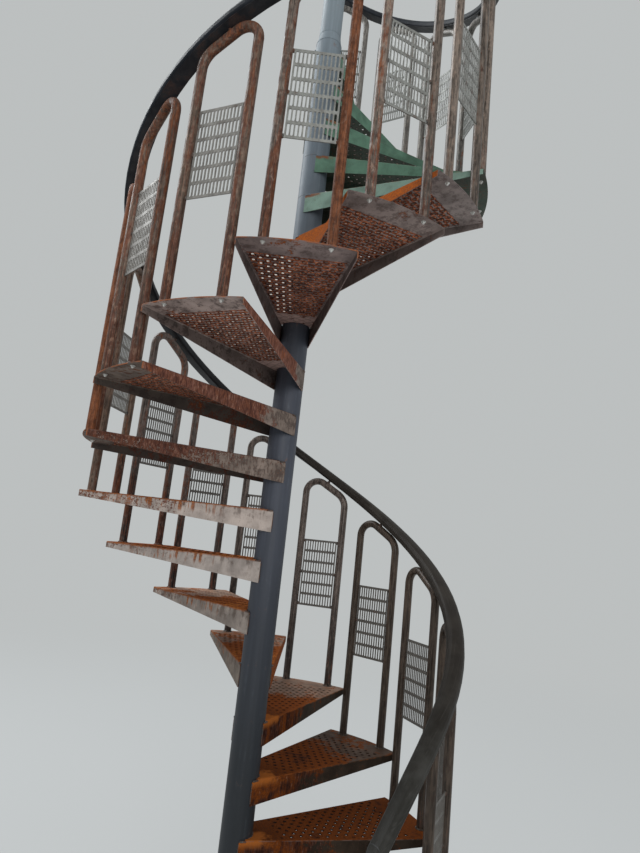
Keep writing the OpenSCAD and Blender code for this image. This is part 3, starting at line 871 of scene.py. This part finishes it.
def bar_material():
    """Dark steel of the flat bar, dusty low down."""
    p = Paint("bar_grey")
    where = p.where()
    _, _, z = p.split(where)
    medium = p.noise(where, 24.0, 5.0, 0.6)
    large = p.noise(where, 4.0, 3.0)
    fine = p.noise(where, 230.0, 3.0, 0.6)
    cloudy = p.ramp(medium, 0.3, 0.7)
    low = p.mix(cloudy, (0.028, 0.023, 0.021), (0.062, 0.053, 0.048))
    upper = p.mix(cloudy, (0.016, 0.017, 0.020), (0.034, 0.034, 0.036))
    colour = p.mix(p.ramp(z, 1.5, 2.1), low, upper)
    rust = p.ramp(p.weigh((large, 0.5), (medium, 0.5)), 0.54, 0.62)
    rusty = p.mix(p.ramp(fine, 0.35, 0.65), (0.026, 0.014, 0.012), (0.070, 0.034, 0.024))
    colour = p.lay(colour, rusty, rust, 0.5)
    return p.finish(colour, p.blend(rust, 0.42, 0.75), p.weigh((fine, 0.3), (medium, 0.2)), 0.0005, 0.0, 0.15)


def metal_material(name, low, high, rust_share, metal):
    """Small metal parts: two colours in clouds, and rust over a share of them."""
    p = Paint(name)
    where = p.where()
    medium = p.noise(where, 60.0, 4.0, 0.6)
    fine = p.noise(where, 420.0, 3.0, 0.6)
    colour = p.mix(p.ramp(medium, 0.3, 0.7), low, high)
    limit = 0.75 - rust_share * 0.5
    rust = p.ramp(p.weigh((medium, 0.6), (fine, 0.4)), limit - 0.04, limit + 0.04)
    colour = p.lay(colour, p.mix(p.ramp(fine, 0.4, 0.6), RUST_DARK, (0.16, 0.060, 0.028)), rust, 0.85)
    rough = p.blend(rust, p.ramp(fine, 0.3, 0.7, 0.30, 0.50), 0.85)
    return p.finish(colour, rough, p.weigh((fine, 0.5), (rust, 0.3)), 0.0004, metal)


# Paint the CAD nodes

def paint(names, material):
    for name in names:
        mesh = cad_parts[name].data
        mesh.materials.clear()
        mesh.materials.append(material)


column_look = column_material()
paint(["base_plate", "column", "column_taper", "top_post", "post_cap"], column_look)
tread_looks = {}
for step in range(1, STEPS + 1):
    tread_looks[step] = tread_material(step)
    paint([f"tread_{step:02d}"], tread_looks[step])
tube_looks = []
for i, name in enumerate(GROUPS):
    tube_looks.append(tube_material("tube_" + name, STEPS_A_GROUP * i + 1, TUBES[i], 2.3 * i + 1))
    paint(["hoops_" + name], tube_looks[i])
    paint(["panels_" + name], panel_material("panel_" + name, *PANELS[i], 1.7 * i))
paint(["rail_bar_" + name for name in GROUPS], bar_material())
paint(["grip_" + name for name in GROUPS] + ["grip_cap_low", "grip_cap_high"], grip_material())

weld_look = metal_material("weld_dark", (0.040, 0.036, 0.034), (0.085, 0.074, 0.066), 0.45, 0.3)
nut_look = metal_material("nut_zinc", (0.52, 0.51, 0.48), (0.78, 0.77, 0.74), 0.15, 0.60)
seam_look = metal_material("seam_black", (0.008, 0.008, 0.008), (0.020, 0.020, 0.020), 0.0, 0.0)


# Profiles of small turned parts, as (radius, height); a nut's radius is to its flats

HOLE_RIM = [(0.00505, -0.0006), (0.00530, 0.0004), (0.00600, 0.0009), (0.00740, 0.0006), (0.00900, -0.0003)]
LEG_COLLAR = [(0.0168, 0.0050), (0.0180, 0.0046), (0.0206, 0.0028), (0.0215, 0.0012), (0.0216, -0.0004)]
LEG_WASHER = [
    (0.0035, -0.0029), (0.0078, -0.0030), (0.0082, -0.0034), (0.0082, -0.0041), (0.0078, -0.0045),
    (0.0035, -0.0045)]
LEG_NUT = [
    (0.0032, -0.0044), (0.0048, -0.0045), (0.0051, -0.0050), (0.0051, -0.0082), (0.0048, -0.0089),
    (0.0032, -0.0090)]
LEG_BOLT_END = [(0.0032, -0.0040), (0.0032, -0.0112), (0.0026, -0.0118)]
STUD_WELD = [
    (0.0060, TUBE_R + 0.0045), (0.0072, TUBE_R + 0.0030), (0.0092, TUBE_R + 0.0004),
    (0.0096, TUBE_R - 0.0016)]
ANCHOR_WASHER = [
    (0.0088, 0.0), (0.0145, 0.0), (0.0150, 0.0006), (0.0150, 0.0025), (0.0144, 0.0031), (0.0088, 0.0031)]
ANCHOR_NUT = [
    (0.0080, 0.0030), (0.0112, 0.0031), (0.0120, 0.0045), (0.0120, 0.0145), (0.0112, 0.0160),
    (0.0080, 0.0162)]
ANCHOR_BOLT_END = [(0.0079, 0.0), (0.0079, 0.0270), (0.0068, 0.0285)]


# Rims of the treads' holes

def holes_of_tread():
    """Places of the staggered holes, as in the CAD source."""
    places = []
    count = int(TREAD_R * math.sin(TREAD_HALF_ANGLE) / COLUMN_PITCH)
    rows = int((LAST_R - FIRST_R) / ROW_PITCH)
    for column in range(-count, count + 1):
        v = column * COLUMN_PITCH
        shift = 0 if column % 2 == 0 else ROW_PITCH / 2
        for row in range(rows + 1):
            u = LAST_R - shift - row * ROW_PITCH
            if u > FIRST_R and abs(v) < side_at(u, SIDE_OFFSET) - MARGIN:
                places.append((u, v))
    return places


def add_hole_rims():
    holes = holes_of_tread()
    for step in range(1, STEPS + 1):
        rims = Shape()
        for u, v in holes:
            rims.lathe(HOLE_RIM, 12, lambda x, y, h: on_tread(step, u + x, v + y, h))
        slot = "green_sheet" if step > LAST_RUSTY else "rusty_sheet"
        rims.build(f"hole_rims_{step:02d}", tread_looks[step], slot, 60)


# Feet, fixings and welds of hoops and treads

def leg_fixings(feet, nuts, step, way):
    """Collar of a hoop's leg on the tread, and washer, nut and bolt end under it."""
    def at(x, y, h):
        return on_tread(step, HOOP_U + x, way * LEG_HALF + y, h)

    feet.lathe(LEG_COLLAR, 28, at)
    nuts.lathe(LEG_WASHER, 24, at)
    nuts.lathe(LEG_NUT, 24, at, False, hexagon)
    nuts.lathe(LEG_BOLT_END, 14, at, True)


def panel_welds(spots, step, way, rng):
    """Three weld spots between a leg and the panel's tabs."""
    a = turn_of(step)
    axes = [(math.cos(a), math.sin(a), 0), (-math.sin(a), math.cos(a), 0), (0, 0, 1)]
    v = way * (LEG_HALF - TUBE_R - 0.001)
    for place in (0.0, 0.5, 1.0):
        h = PANEL_LOW + place * (PANEL_H - TAB_H) + TAB_H / 2
        centre = on_tread(step, HOOP_U, v, h + rng.uniform(-0.002, 0.002))
        spots.lump(centre, axes, (0.0048, 0.0048, 0.0080), rng)


def flange_welds(beads, step, way, rng):
    """A bead up the flange's end, against the column, and one along the upper corner."""
    u = -FLANGE_BACK - 0.0005
    v = way * side_at(u, COLUMN_R + 0.0012)
    beads.bead([on_tread(step, u, v, FLANGE_WELD_LOW + 0.0030 * k) for k in range(23)], 0.0022, rng)
    corner = []
    for k in range(11):
        u = -0.0070 + 0.0024 * k
        corner.append(on_tread(step, u, way * side_at(u, COLUMN_R + 0.0022), -0.0042))
    beads.bead(corner, 0.0034, rng, 8, 0.08)


def cutout_weld(beads, step, rng):
    """A bead round the sheet's cut-out, on the column's front."""
    radius = COLUMN_R + 0.0004
    reach = math.radians(57)
    count = 36
    path = []
    for k in range(count + 1):
        a = -reach + 2 * reach * k / count
        path.append(on_tread(step, radius * math.cos(a), radius * math.sin(a), 0.0004))
    beads.bead(path, 0.0024, rng)


def stud_weld(beads, step):
    """A bead round the stud that carries the flat bar, square to the rail's slope."""
    def at(x, y, h):
        v = y * math.cos(SLOPE) - h * math.sin(SLOPE)
        return on_tread(step, HOOP_U + x, v, HOOP_H + y * math.sin(SLOPE) + h * math.cos(SLOPE))

    beads.lathe(STUD_WELD, 18, at)


def add_fixings_and_welds():
    painted_welds_from = 3
    for g, name in enumerate(GROUPS):
        rng = random.Random(40 + g)
        feet, nuts, spots, beads = Shape(), Shape(), Shape(), Shape()
        for step in range(g * STEPS_A_GROUP + 1, (g + 1) * STEPS_A_GROUP + 1):
            for way in (-1, 1):
                leg_fixings(feet, nuts, step, way)
                panel_welds(spots, step, way, rng)
                flange_welds(beads, step, way, rng)
            cutout_weld(beads, step, rng)
            stud_weld(beads, step)
        feet.build("leg_feet_" + name, tube_looks[g], "rusty_tube")
        nuts.build("leg_nuts_" + name, nut_look, "rusty_tube")
        spots.build("panel_welds_" + name, weld_look, "slotted_panel", 70)
        bead_look = column_look if g >= painted_welds_from else weld_look
        beads.build("tread_welds_" + name, bead_look, "column_paint", 70)


# Column, base plate and the grip's ends

def add_column_welds():
    """Welds round the taper's two ends and at the base plate."""
    rng = random.Random(9)
    welds = Shape()
    count = 72
    for radius, z, size in (
            (COLUMN_R, COLUMN_TOP, 0.0013), (POST_R, POST_BASE, 0.0013), (COLUMN_R, BASE_T, 0.0040)):
        path = []
        for k in range(count + 1):
            a = 2 * math.pi * k / count
            path.append((radius * math.cos(a), radius * math.sin(a), z))
        welds.bead(path, size, rng, 6, 0.08)
    welds.build("column_welds", column_look, "column_paint", 70)


def add_anchor_nuts():
    anchors = Shape()
    for sx in (-1, 1):
        for sy in (-1, 1):
            def at(x, y, h):
                return (sx * BOLT_HALF + x, sy * BOLT_HALF + y, BASE_T + h)

            anchors.lathe(ANCHOR_WASHER, 32, at)
            anchors.lathe(ANCHOR_NUT, 24, at, False, hexagon)
            anchors.lathe(ANCHOR_BOLT_END, 20, at, True)
    anchors.build("anchor_nuts", nut_look, "column_paint")


def grip_outline():
    """The grip's crowned section, as points across and up from the flat bar's top."""
    half = GRIP_W / 2
    corner = (GRIP_W - BAR_W) / 2 - FIT_GAP - GRIP_ROUND
    squareness = 0.75
    count = 30
    outline = []
    for k in range(count + 1):
        a = math.pi - math.pi * k / count
        across = half * math.copysign(abs(math.cos(a)) ** squareness, math.cos(a))
        rise = (GRIP_H - corner) * max(math.sin(a), 0.0) ** squareness
        outline.append((across, GRIP_LIP + corner + rise))
    outline.append((half - corner * 0.3, GRIP_LIP + corner * 0.3))
    outline.append((half - corner, GRIP_LIP))
    outline.append((-half + corner, GRIP_LIP))
    outline.append((-half + corner * 0.3, GRIP_LIP + corner * 0.3))
    return outline


def add_grip_seams():
    """Dark joint lines where the end caps meet the grip; shifts are in steps along the rail."""
    seams = Shape()
    middle = GRIP_LIP + GRIP_H / 2
    for joint in (1 - LEAD_IN, STEPS + LEAD_OUT):
        rings = []
        for shift, grow in ((-0.0025, 1.000), (-0.0022, 1.018), (0.0022, 1.018), (0.0025, 1.000)):
            ring = []
            for x, y in grip_outline():
                ring.append(rail_point(joint + shift, x * grow, middle + (y - middle) * grow))
            rings.append(ring)
        seams.rings(rings)
    seams.build("grip_seams", seam_look, "grip_plastic")


add_hole_rims()
add_fixings_and_welds()
add_column_welds()
add_anchor_nuts()
add_grip_seams()


# Floor and backdrop

BACKDROP = (0.505, 0.525, 0.525, 1.0)
FLOOR = (0.56, 0.575, 0.575)
SKY = (0.93, 0.97, 1.0, 1.0)
SKY_STRENGTH = 0.70
FLOOR_HALF = 30


def sees_backdrop(tree):
    """1 for rays from the camera, from shine and through glass, 0 for the rest."""
    rays = tree.nodes.new("ShaderNodeLightPath")
    share = rays.outputs["Is Camera Ray"]
    for kind in ("Is Glossy Ray", "Is Transmission Ray"):
        either = tree.nodes.new("ShaderNodeMath")
        either.operation = "MAXIMUM"
        tree.links.new(share, either.inputs[0])
        tree.links.new(rays.outputs[kind], either.inputs[1])
        share = either.outputs[0]
    return share


def mixed(tree, share, first, second, surface):
    """Mixes two shaders by a share into a surface."""
    both = tree.nodes.new("ShaderNodeMixShader")
    tree.links.new(share, both.inputs[0])
    tree.links.new(first, both.inputs[1])
    tree.links.new(second, both.inputs[2])
    tree.links.new(both.outputs[0], surface)


def floor_material():
    """Pale floor that passes into the backdrop, and keeps the stair's shadow near it."""
    p = Paint("floor_pale")
    p.finish(FLOOR, 0.8)
    glow = p.node("Emission", {"Color": BACKDROP})
    away = p.ramp(p.vector("LENGTH", p.where()), 2.0, 9.0, 0.62, 1.0)
    share = p.mul(sees_backdrop(p.tree), away)
    mixed(p.tree, share, p.shader.outputs["BSDF"], glow, p.out.inputs["Surface"])
    return p.material


def make_world():
    """A soft sky that lights the stair, with the plain backdrop to look at."""
    world = bpy.data.worlds.new("studio")
    bpy.context.scene.world = world
    world.use_nodes = True
    tree = world.node_tree
    tree.nodes.clear()
    out = tree.nodes.new("ShaderNodeOutputWorld")
    seen = tree.nodes.new("ShaderNodeBackground")
    seen.inputs[0].default_value = BACKDROP
    sky = tree.nodes.new("ShaderNodeBackground")
    sky.inputs[0].default_value = SKY
    sky.inputs[1].default_value = SKY_STRENGTH
    mixed(tree, sees_backdrop(tree), sky.outputs[0], seen.outputs[0], out.inputs["Surface"])


corners = [(-FLOOR_HALF, -FLOOR_HALF, 0), (FLOOR_HALF, -FLOOR_HALF, 0)]
corners += [(FLOOR_HALF, FLOOR_HALF, 0), (-FLOOR_HALF, FLOOR_HALF, 0)]
floor_mesh = bpy.data.meshes.new("floor")
floor_mesh.from_pydata(corners, [], [(0, 1, 2, 3)])
floor_mesh.materials.append(floor_material())
floor = bpy.data.objects.new("floor", floor_mesh)
bpy.context.scene.collection.objects.link(floor)
make_world()


# Lamps and camera

# The camera that was solved from the photo: its width and focal length in pixels, and its
# place in metres and turn in degrees
PHOTO_WIDTH = 640
FOCAL_LENGTH = 602.6
CAMERA_AT = (0.16796, -2.3763, 1.6068)
CAMERA_YAW = math.radians(-0.612)
CAMERA_PITCH = math.radians(10.843)
CAMERA_ROLL = math.radians(6.071)
SENSOR_WIDTH = 36.0


def lamp(name, where, target, size, power, colour):
    data = bpy.data.lights.new(name, "AREA")
    data.shape = "DISK"
    data.size = size
    data.energy = power
    data.color = colour
    light = bpy.data.objects.new(name, data)
    light.location = where
    light.rotation_euler = (Vector(target) - Vector(where)).to_track_quat("-Z", "Y").to_euler()
    bpy.context.scene.collection.objects.link(light)


def make_camera():
    level = math.cos(CAMERA_PITCH)
    forward = Vector((math.sin(CAMERA_YAW) * level, math.cos(CAMERA_YAW) * level, math.sin(CAMERA_PITCH)))
    right = Vector((math.cos(CAMERA_YAW), -math.sin(CAMERA_YAW), 0))
    up = right.cross(forward)
    tilted_right = right * math.cos(CAMERA_ROLL) + up * math.sin(CAMERA_ROLL)
    tilted_up = up * math.cos(CAMERA_ROLL) - right * math.sin(CAMERA_ROLL)
    turn = Matrix((tilted_right, tilted_up, -forward)).transposed()
    data = bpy.data.cameras.new("camera")
    data.sensor_fit = "HORIZONTAL"
    data.sensor_width = SENSOR_WIDTH
    data.lens = FOCAL_LENGTH / PHOTO_WIDTH * SENSOR_WIDTH
    data.clip_end = 200
    camera = bpy.data.objects.new("camera", data)
    camera.matrix_world = Matrix.Translation(CAMERA_AT) @ turn.to_4x4()
    bpy.context.scene.collection.objects.link(camera)
    return camera


lamp("sky_left", (-5.5, 1.5, 8.0), (0, 0, 2.4), 6.0, 470, (0.95, 0.98, 1.0))
lamp("front_fill", (1.5, -6.5, 4.0), (0, 0, 2.2), 4.0, 170, (1.0, 0.99, 0.97))
bpy.context.scene.camera = make_camera()
bpy.context.scene.view_settings.view_transform = "Standard"
